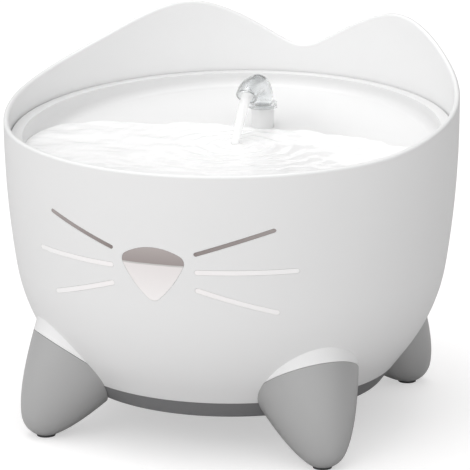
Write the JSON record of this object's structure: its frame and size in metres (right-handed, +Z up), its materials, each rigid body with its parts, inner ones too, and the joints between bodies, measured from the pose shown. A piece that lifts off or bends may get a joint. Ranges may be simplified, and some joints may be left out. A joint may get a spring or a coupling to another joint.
{
  "type": "pet water fountain",
  "caption": "Round drinking fountain for pets with ears on its rim, whisker windows, splayed legs, lift-out tray with a spout, inner tank, submersible pump and filter.",
  "frame": {"origin": "on the ground under the middle of the body", "axes": "+Z up, the face looks along -Y, +X is to the right of a viewer who faces it"},
  "size_m": [0.224, 0.2256, 0.188],
  "materials": {
    "white_shell": "smooth white ABS, satin gloss",
    "white_tray": "smooth white plastic, glossy",
    "grey_leg": "satin mid-grey plastic",
    "grey_base": "satin dark grey plastic",
    "smoky_tank": "smoky translucent plastic",
    "clear_window": "clear moulded plastic",
    "dark_window": "smoky plastic",
    "rubber_pad": "soft rubber",
    "screw_steel": "plated steel",
    "clear_spout": "clear moulded plastic",
    "pump_plastic": "black moulded plastic",
    "pump_cover_plastic": "black moulded plastic",
    "impeller_plastic": "natural nylon",
    "magnet_ferrite": "dark ferrite",
    "shaft_ceramic": "polished ceramic",
    "filter_white": "white moulded plastic",
    "foam_blue": "open-cell filter foam",
    "carbon_black": "granular active carbon"
  },
  "bodies": {
    "body": {"outer_shell": "white_shell", "nose_window": "clear_window", "water_tank": "smoky_tank", "base_plate": "grey_base", "leg_screws": "screw_steel", "base_screws": "screw_steel", "cable_grommet": "rubber_pad", "left_upper_whisker_window": "dark_window", "left_middle_whisker_window": "clear_window", "left_lower_whisker_window": "clear_window", "right_upper_whisker_window": "dark_window", "right_middle_whisker_window": "clear_window", "right_lower_whisker_window": "clear_window", "front_left_leg": "grey_leg", "front_left_foot_pad": "rubber_pad", "front_right_leg": "grey_leg", "front_right_foot_pad": "rubber_pad", "rear_right_leg": "grey_leg", "rear_right_foot_pad": "rubber_pad", "rear_left_leg": "grey_leg", "rear_left_foot_pad": "rubber_pad"},
    "tray": {"drinking_tray": "white_tray", "spout_stem": "white_tray", "stem_seal": "rubber_pad"},
    "hood": {"spout_hood": "clear_spout"},
    "pump": {"pump_case": "pump_plastic", "pump_cover": "pump_cover_plastic", "front_bush": "shaft_ceramic", "rear_bush": "rubber_pad", "impeller_shaft": "shaft_ceramic", "outlet_tube": "pump_plastic", "suction_cups": "rubber_pad", "cable_gland": "rubber_pad"},
    "rotor": {"impeller": "impeller_plastic", "rotor_magnet": "magnet_ferrite"},
    "cartridge": {"filter_frame": "filter_white", "filter_foam": "foam_blue", "carbon_bed": "carbon_black", "filter_lid": "filter_white"}
  },
  "joints": [
    {"name": "tray_lift", "type": "slide", "parent": "body", "child": "tray", "axis": [0, 0, 1], "range_m": [0, 0.2]},
    {"name": "spout_pull", "type": "slide", "parent": "tray", "child": "hood", "axis": [0, 0, 1], "range_m": [0, 0.03]},
    {"name": "filter_lift", "type": "slide", "parent": "body", "child": "cartridge", "axis": [0, 0, 1], "range_m": [0, 0.17]},
    {"name": "pump_lift", "type": "slide", "parent": "body", "child": "pump", "axis": [0, 0, 1], "range_m": [0, 0.13]},
    {"name": "impeller_spin", "type": "hinge", "parent": "pump", "child": "rotor", "pos_m": [0, 0.025, 0.0532], "axis": [0, 1, 0], "continuous": true}
  ],
  "couplings": [
    {"joint": "filter_lift", "follows": "tray_lift", "ratio": 0.85},
    {"joint": "pump_lift", "follows": "tray_lift", "ratio": 0.65}
  ]
}
